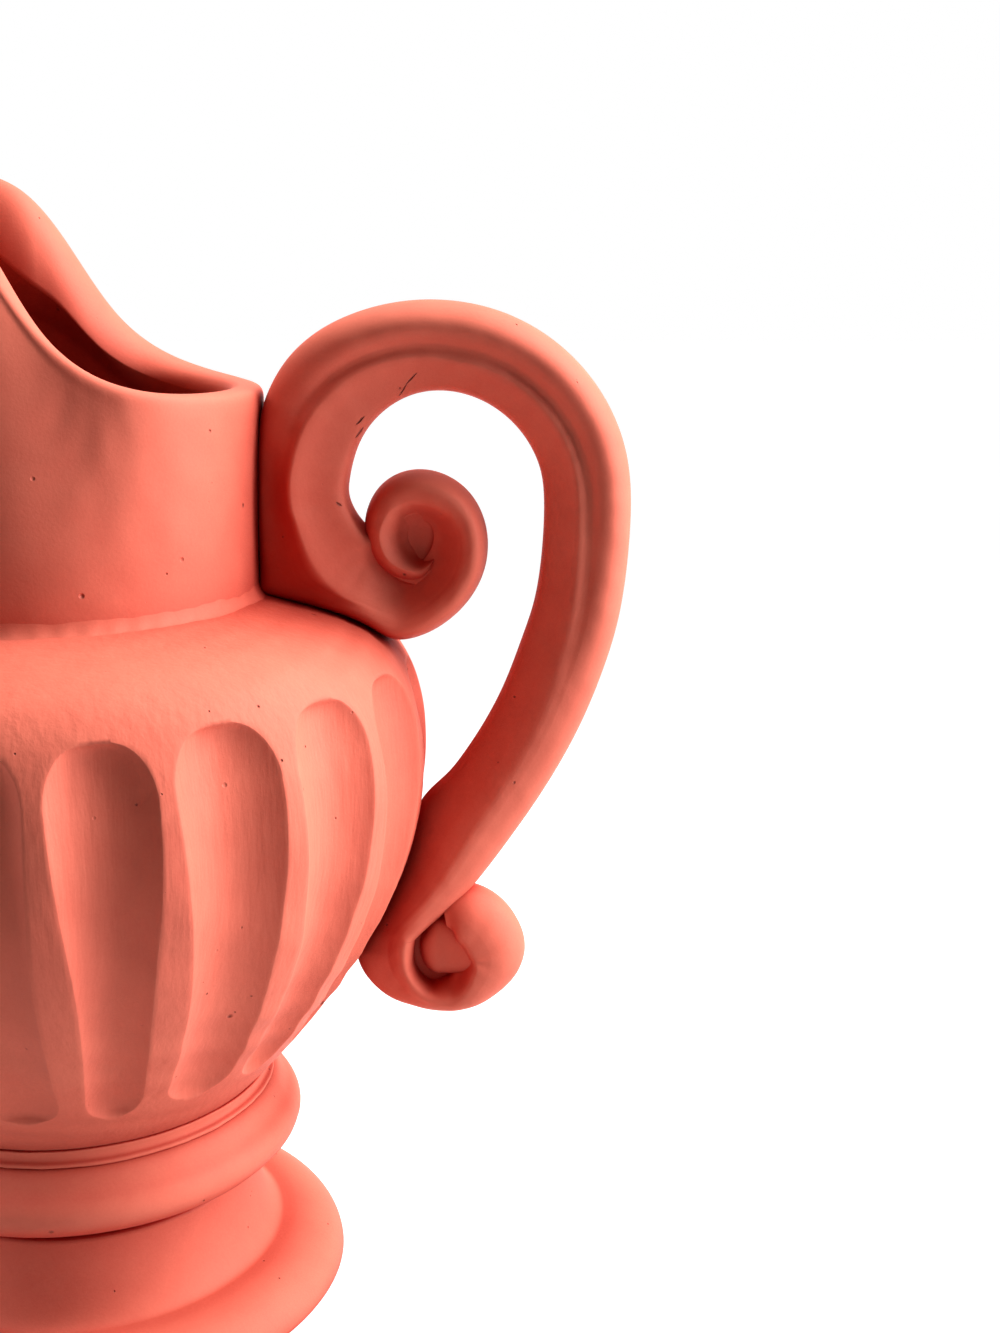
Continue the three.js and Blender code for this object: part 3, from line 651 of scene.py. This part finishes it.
def strap_mesh():
    """The strap's section carried along its middle. A section runs from the rounded edge over the
    front to the thin edge and back behind, its points closer together at both edges and the ridge."""
    middle = softened(through_stations(handle_stations(), np.linspace(0, 1, 860)), 5)
    tangent = np.gradient(middle[:, :2], axis=0)
    tangent /= np.hypot(tangent[:, 0], tangent[:, 1])[:, None]
    normal = np.stack([-tangent[:, 1], tangent[:, 0]], -1)
    station = middle[:, 3]

    at = [row[0] for row in strap]
    weights = np.stack([np.interp(station, at, [row[1].get(name, 0) for row in strap]) for name in faces])
    weights = softened(weights.T, 5).T
    ridge, wider_round, wider_thin, depth = (
        curve_through([(row[0], row[n]) for row in strap])(station)[:, None] for n in range(2, 6))
    round_edge = middle[:, :2] + normal * middle[:, 2:3] / 2
    thin_edge = middle[:, :2] - normal * middle[:, 2:3] / 2
    crest = lerp(round_edge, thin_edge, ridge)
    round_edge = softened(clear_of_pot(round_edge + normal * wider_round), 2)
    thin_edge = softened(clear_of_pot(thin_edge - normal * wider_thin), 2)

    across = np.unique(np.round(np.concatenate([
        (1 - np.cos(np.linspace(0, math.pi, 30))) / 2, np.linspace(0.42, 0.74, 15)]), 4))
    share = sum(weight[:, None] * curve_through(face)(across)[None, :]
                for weight, face in zip(weights, faces.values()))
    front = strap_depth / 2 * depth * share
    outer, inner = np.clip(across / RIDGE, 0, 1), np.clip((across - RIDGE) / (1 - RIDGE), 0, 1)
    x, z = (round_edge[:, n:n + 1] + (crest - round_edge)[:, n:n + 1] * outer
            + (thin_edge - crest)[:, n:n + 1] * inner for n in (0, 1))
    along = np.concatenate([[0], np.cumsum(np.hypot(*np.diff(middle[:, :2], axis=0).T))])[:, None]
    over = strap_width * across[None, :]
    uneven = 0.16 * ripple(along, over, 16, seed=51) + 0.06 * ripple(along, over, 5, seed=52)
    edge_share = 0.6  # below this share of the depth the unevenness fades towards the edges
    face = np.stack([x, -front - uneven * np.minimum(share, edge_share) / edge_share, z], -1)
    back = np.stack([x, front, z], -1)[:, ::-1]
    return closed_mesh("handle", np.concatenate([face, back], 1), wrap_rows=False)


def web_mesh(name, x, z, radius, height):
    """A round plate of clay on the middle plane, which closes the inside of a curl. Its half thickness
    comes from a function of the place on it, in millimetres from its middle."""
    front_rows, back_rows = 44, 6
    angle = np.linspace(0, 2 * math.pi, 96, endpoint=False)[None, :]
    share = np.concatenate([np.linspace(0.01, 1, front_rows), np.linspace(1, 0.01, back_rows)])[:, None]
    side = np.repeat([-1.0, 1.0], [front_rows, back_rows])[:, None]
    out, up = radius * share * np.cos(angle), radius * share * np.sin(angle)
    return closed_mesh(name, np.stack([x + out, side * height(out, up), z + up], -1), wrap_rows=False)


def scroll_hollow(out, up):
    """A cup: 0.8 thick just right of the middle, and thicker by 0.008 times the cube of the distance
    from there, by 2.6 at most."""
    far = np.hypot(out - 0.3, up + 0.6)
    return 0.8 + np.minimum(0.008 * far**3, 2.6)


def throat_plate(out, up):
    """A plain plate, 2.5 thick to each side everywhere."""
    return np.full(np.broadcast(out, up).shape, 2.5)


def curl_boss(out, up):
    """A floor 2.7 thick with a drop-shaped swelling of 3.5, pointed at the top, that leans on the bulb
    to its right. The swelling is the root of 1 - x^2 across, x being the share of its half width, times
    the root of 1 - y^3 upwards. The floor rises to the right with the square of the distance."""
    out, up = out + 2.4, up - 1.9
    half = 4.7 * np.sqrt(np.clip(1 - (up / 7.6) ** 2, 0.001, 1)) * (1 - 0.35 * smooth_step(up, 0, 8))
    half = half * np.where(out > 0, 2.7, 1)
    across, upwards = (out / half) ** 2, np.abs(up / 7.5) ** 3
    rise = 0.04 * np.clip(out, 0, 8) ** 2
    return 2.7 + rise + 3.5 * np.sqrt(np.clip(1 - across, 0, 1)) * np.sqrt(np.clip(1 - upwards, 0, 1))


def handle_mesh():
    """The strap and its three webs. The places and radii of the two in the scroll are shares of its
    reach from the neck's foot, and the curl's web sits on the curl's middle."""
    return joined(
        "handle", strap_mesh(),
        web_mesh("scroll_web", neck_radius + 0.7 * volute_reach, bowl_top + 0.236 * volute_reach,
                 0.2 * volute_reach, scroll_hollow),
        web_mesh("throat_web", neck_radius + 0.5 * volute_reach, bowl_top + 0.12 * volute_reach,
                 0.13 * volute_reach, throat_plate),
        web_mesh("curl_web", curl_x, curl_z, 0.55 * curl_radius, curl_boss),
    )


# Nodes
def add_node(tree, kind, inputs=(), **settings):
    """A new node with its settings. An input takes a value, or is joined to another node's output."""
    made = tree.nodes.new(kind)
    for key, value in settings.items():
        setattr(made, key, value)
    for key, value in dict(inputs).items():
        if isinstance(value, bpy.types.NodeSocket):
            tree.links.new(value, made.inputs[key])
        else:
            made.inputs[key].default_value = value
    return made


def calculate(tree, operation, *values, clamp=False):
    """The result of a sum on numbers or outputs, clamped to 0 to 1 on request."""
    return add_node(tree, "ShaderNodeMath", enumerate(values), operation=operation,
                    use_clamp=clamp).outputs[0]


def calculate_vector(tree, operation, *values):
    """Both outputs of a sum on vectors: the vector first, and the value by its name."""
    return add_node(tree, "ShaderNodeVectorMath", enumerate(values), operation=operation).outputs


def mixed(tree, factor, a, b, blend_type="MIX"):
    """A colour between two colours, or with MULTIPLY their product."""
    return add_node(tree, "ShaderNodeMix", {0: factor, 6: a, 7: b}, data_type="RGBA",
                    blend_type=blend_type).outputs[2]


def ramped(tree, value, start, end, low=0.0, high=1.0, interpolation_type="LINEAR"):
    """low where the value is below start, high where it is above end, and a ramp between them."""
    return add_node(tree, "ShaderNodeMapRange",
                    {"Value": value, "From Min": start, "From Max": end, "To Min": low, "To Max": high},
                    interpolation_type=interpolation_type).outputs[0]


def noise(tree, place, waves, detail, stretch=None):
    """Noise of so many waves to a metre. A stretch below 1 draws it out along that axis."""
    if stretch:
        place = add_node(tree, "ShaderNodeMapping", {"Vector": place, "Scale": stretch}).outputs[0]
    return add_node(tree, "ShaderNodeTexNoise",
                    {"Vector": place, "Scale": waves, "Detail": detail}).outputs["Fac"]


# Finish: matt fired clay, with its pale and deep tone, the painted shade at the bottom of its pores and
# cracks, and the painted shade it is multiplied by in hollows and inside the pot. Reliefs are heights in
# metres.
WHITE = (1, 1, 1, 1)
clay_deep, clay_pale = (0.76, 0.155, 0.1, 1), (0.85, 0.205, 0.131, 1)
# Painted shade at the bottom of pores and cracks
painted_pore_shade = (0.12, 0.02, 0.02, 1)
# Painted shade: the tints that the colour is multiplied by in hollows and deep inside the pot
painted_hollow_shade, painted_inside_shade = (0.5, 0.075, 0.08, 1), (0.25, 0.1, 0.14, 1)
grain_relief, mottle_relief, tool_relief, pore_relief = 0.00003, 0.00006, 0.0002, 0.0006
# Cracks and nicks that the photograph shows on the handle's inner band: x and z of both ends, in
# millimetres from the axis and the floor, and the width at the middle
nicks = [(85.2, 223.8, 82.5, 221.0, 0.24), (83.0, 221.4, 80.9, 218.3, 0.2), (73.2, 214.0, 71.2, 212.0, 0.3),
         (72.9, 211.5, 71.0, 209.0, 0.3), (66.5, 194.8, 67.8, 193.8, 0.35)]


def pores(tree, place, cells, radius, share):
    """Round pores in so many cells to a metre: 1 at a pore's middle and 0 at its edge. The cell's random
    colour says whether it has a pore and how wide that is."""
    cell = add_node(tree, "ShaderNodeTexVoronoi", {"Vector": place, "Scale": cells}).outputs
    chance = add_node(tree, "ShaderNodeSeparateColor", {0: cell["Color"]}).outputs
    chosen = calculate(tree, "LESS_THAN", chance[0], share)
    size = calculate(tree, "MULTIPLY_ADD", chance[1], radius, 0.4 * radius)
    inside = calculate(tree, "SUBTRACT", 1, calculate(tree, "DIVIDE", cell["Distance"], size), clamp=True)
    return calculate(tree, "MULTIPLY", inside, chosen)


def nick(tree, flat, x1, z1, x2, z2, width):
    """A fine crack seen from the front: 1 on the line between its ends and 0 at its edge. The distance
    to the line is divided by 4t(1 - t) times the width, t being the share of the way along it."""
    start = ((x1 + axis_x) * MM, 0, z1 * MM)
    line = ((x2 - x1) * MM, 0, (z2 - z1) * MM)
    to_start = calculate_vector(tree, "SUBTRACT", flat, start)[0]
    along = calculate_vector(tree, "DOT_PRODUCT", to_start, line)["Value"]
    along = calculate(tree, "DIVIDE", along, line[0] ** 2 + line[2] ** 2, clamp=True)
    reached = add_node(tree, "ShaderNodeVectorMath", {0: line, "Scale": along},
                       operation="SCALE").outputs[0]
    away = calculate_vector(tree, "SUBTRACT", to_start, reached)[0]
    away = calculate_vector(tree, "LENGTH", away)["Value"]
    taper = calculate(tree, "MULTIPLY", along, calculate(tree, "SUBTRACT", 1, along))
    taper = calculate(tree, "MULTIPLY", taper, 4 * width * MM)
    taper = calculate(tree, "MAXIMUM", taper, 0.00001)
    return calculate(tree, "SUBTRACT", 1, calculate(tree, "DIVIDE", away, taper), clamp=True)


def with_painted_shade(tree, colour, reach, shut, free, shade_colour):
    """Painted shade: a colour multiplied by a dark tint where the clay is shut in, in place of the shade that
    falls in hollows: fully where less than the share shut of all directions is open within a reach in metres,
    and not at all above the share free."""
    openness = add_node(tree, "ShaderNodeAmbientOcclusion", {"Distance": reach}, samples=6).outputs["AO"]
    openness = ramped(tree, openness, shut, free, interpolation_type="SMOOTHSTEP")
    return mixed(tree, 1.0, colour, mixed(tree, openness, shade_colour, WHITE), "MULTIPLY")


def clay_material(name, marks=0.0, painted_gloom_end=None):
    """Fired clay: a broad, a mottled and a grained noise give tone and relief, and pores and cracks go into
    it, sunk as relief and darkened in colour as painted shade. Hollows are darkened by painted shade where
    they are shut in. marks is the relief of the carving tool's upright marks, and the last argument the open
    share below which painted shade darkens the inside of the pot."""
    material = bpy.data.materials.new(name)
    material.use_nodes = True
    tree = material.node_tree
    tree.nodes.clear()
    place = add_node(tree, "ShaderNodeTexCoord").outputs["Object"]
    broad = noise(tree, place, waves=22, detail=2)
    mottle = noise(tree, place, waves=160, detail=3)
    grain = noise(tree, place, waves=1500, detail=3)

    flat = calculate_vector(tree, "MULTIPLY", place, (1, 0, 1))[0]
    depth = add_node(tree, "ShaderNodeSeparateXYZ", {0: place}).outputs[1]
    cracks = 0.0
    for row in nicks:
        cracks = calculate(tree, "MAXIMUM", cracks, nick(tree, flat, *row))
    cracks = calculate(tree, "MULTIPLY", cracks, calculate(tree, "LESS_THAN", depth, -MM))
    wide_pores = pores(tree, place, cells=95, radius=0.055, share=0.6)
    fine_pores = pores(tree, place, cells=230, radius=0.07, share=0.3)
    pits = calculate(tree, "ADD", wide_pores, fine_pores, clamp=True)
    pits = calculate(tree, "MAXIMUM", pits, cracks)

    tone = calculate(tree, "MULTIPLY", broad, 0.5)
    tone = calculate(tree, "ADD", tone, calculate(tree, "MULTIPLY", mottle, 0.3))
    tone = calculate(tree, "ADD", tone, calculate(tree, "MULTIPLY", grain, 0.2))
    tones = add_node(tree, "ShaderNodeValToRGB", {"Fac": tone})
    deep_end, pale_end = tones.color_ramp.elements
    deep_end.position, deep_end.color = 0.3, clay_deep
    pale_end.position, pale_end.color = 0.7, clay_pale
    # Pores and cracks are painted dark: painted shade in their hollows, beside their real sunk relief
    colour = mixed(tree, calculate(tree, "MULTIPLY", pits, 0.8), tones.outputs[0], painted_pore_shade)
    # Painted shade in hollows, where the clay is shut in by its neighbours
    colour = with_painted_shade(tree, colour, reach=0.07, shut=0.15, free=0.9, shade_colour=painted_hollow_shade)
    # Painted shade deep inside the pot
    if painted_gloom_end:
        colour = with_painted_shade(tree, colour, reach=0.25, shut=0.1, free=painted_gloom_end, shade_colour=painted_inside_shade)

    height = calculate(tree, "MULTIPLY", grain, grain_relief)
    height = calculate(tree, "ADD", height, calculate(tree, "MULTIPLY", mottle, mottle_relief))
    if marks:
        upright = noise(tree, place, waves=420, detail=3, stretch=(1, 1, 0.12))
        height = calculate(tree, "ADD", height, calculate(tree, "MULTIPLY", upright, marks))
    height = calculate(tree, "SUBTRACT", height, calculate(tree, "MULTIPLY", pits, pore_relief))
    shader = add_node(tree, "ShaderNodeBsdfPrincipled", {
        "Base Color": colour,
        "Roughness": calculate(tree, "MULTIPLY_ADD", mottle, 0.16, 0.5),
        "Specular IOR Level": 0.12,
        "Normal": add_node(tree, "ShaderNodeBump", {"Height": height, "Distance": 1.0}).outputs[0],
    })
    add_node(tree, "ShaderNodeOutputMaterial", {"Surface": shader.outputs[0]})
    return material


clay = clay_material("fired clay")
carved_clay = clay_material("carved clay", marks=tool_relief, painted_gloom_end=0.25)
neck_clay = clay_material("neck clay", painted_gloom_end=0.45)
piece("ewer_bowl", bowl_mesh(), carved_clay, "bowl")
piece("ewer_neck", neck_mesh(), neck_clay, "neck")
piece("ewer_knop", knop_mesh(), clay, "knop")
piece("ewer_foot", foot_mesh(), clay, "foot")
piece("seat_slip", bead_mesh(), clay, "foot_slip")
piece("neck_slip_fillet", fillet_mesh(), clay, "neck_slip")
piece("handle_strap", handle_mesh(), clay, "handle")


# Camera, which stands right of the ewer, in front of it and above it, in metres, and looks down
photo_height, focal = 1333, 1750.0  # in pixels of the photograph
tilt = math.radians(13.8)
camera_right, camera_front, camera_height = (axis_x + 103.6) * MM, -0.3994, 0.2531
camera = bpy.data.objects.new("camera", bpy.data.cameras.new("camera"))
camera.data.sensor_width = 36.0
camera.data.lens = focal / photo_height * camera.data.sensor_width
camera.data.clip_start = 0.01
camera.location = (camera_right, camera_front, camera_height)
camera.rotation_euler = (math.pi / 2 - tilt, 0, 0)
bpy.context.scene.collection.objects.link(camera)
bpy.context.scene.camera = camera

ewer_middle = (0, 0, 0.15)


def area_light(name, place, size, power, colour):
    """A rectangular lamp of so many watts that looks at the middle of the ewer."""
    lamp = bpy.data.lights.new(name, "AREA")
    lamp.shape = "RECTANGLE"
    lamp.size, lamp.size_y = size
    lamp.energy = power
    lamp.color = colour
    made = bpy.data.objects.new(name, lamp)
    made.location = place
    made.rotation_euler = (Vector(ewer_middle) - Vector(place)).to_track_quat("-Z", "Y").to_euler()
    bpy.context.scene.collection.objects.link(made)


# Lamps: place, width and height in metres, watts and colour
area_light("right", (0.88, -0.02, 0.36), (0.55, 0.7), 11.4, (1.0, 0.96, 1.0))
area_light("upper right", (0.6, 0.1, 0.8), (0.4, 0.4), 9.4, (1.0, 0.97, 0.95))
area_light("left", (-0.88, 0.0, 0.42), (0.4, 0.7), 7, (1.0, 0.95, 0.98))
area_light("top", (0.0, 0.3, 1.05), (0.8, 0.6), 6, (1.0, 0.98, 0.9))


def sees_white(tree):
    """1 for a ray of the camera, of a reflection or through glass, and 0 for one of plain light."""
    path = add_node(tree, "ShaderNodeLightPath").outputs
    total = calculate(tree, "MAXIMUM", path["Is Camera Ray"], path["Is Glossy Ray"])
    return calculate(tree, "MAXIMUM", total, path["Is Transmission Ray"])


def floor_stage():
    """A pale floor that shows white to the camera, but for the object's soft shadow. With the distance
    from the ewer its own colour darkens from 0.55 to 0.2 and its glow grows from 0.76 to 1."""
    size = 4.0
    mesh = bpy.data.meshes.new("floor")
    mesh.from_pydata([(-size, -size, 0), (size, -size, 0), (size, size, 0), (-size, size, 0)], [],
                     [(0, 1, 2, 3)])
    floor = bpy.data.objects.new("floor", mesh)
    bpy.context.scene.collection.objects.link(floor)
    material = bpy.data.materials.new("floor")
    material.use_nodes = True
    tree = material.node_tree
    tree.nodes.clear()
    place = add_node(tree, "ShaderNodeTexCoord").outputs["Object"]
    away = calculate_vector(tree, "LENGTH", place)["Value"]
    cloth = ramped(tree, away, start=0.25, end=0.6, low=0.55, high=0.2)
    bright = ramped(tree, away, start=0.35, end=1.5, low=0.76, high=1.0)
    plain = add_node(tree, "ShaderNodeBsdfDiffuse", {0: cloth}).outputs[0]
    glow = add_node(tree, "ShaderNodeEmission", {0: WHITE, 1: bright}).outputs[0]
    seen = add_node(tree, "ShaderNodeAddShader", {0: plain, 1: glow}).outputs[0]
    surface = add_node(tree, "ShaderNodeMixShader", {0: sees_white(tree), 1: plain, 2: seen}).outputs[0]
    add_node(tree, "ShaderNodeOutputMaterial", {0: surface})
    mesh.materials.append(material)


def white_world():
    """White to the camera, and a faint cool light on the ewer."""
    world = bpy.data.worlds.new("world")
    bpy.context.scene.world = world
    world.use_nodes = True
    tree = world.node_tree
    tree.nodes.clear()
    faint = add_node(tree, "ShaderNodeBackground", {0: (0.95, 0.95, 1, 1), 1: 0.015}).outputs[0]
    white = add_node(tree, "ShaderNodeBackground", {0: WHITE, 1: 1.0}).outputs[0]
    seen = add_node(tree, "ShaderNodeMixShader", {0: sees_white(tree), 1: faint, 2: white}).outputs[0]
    add_node(tree, "ShaderNodeOutputWorld", {0: seen})


floor_stage()
white_world()
bpy.context.scene.view_settings.view_transform = "Standard"
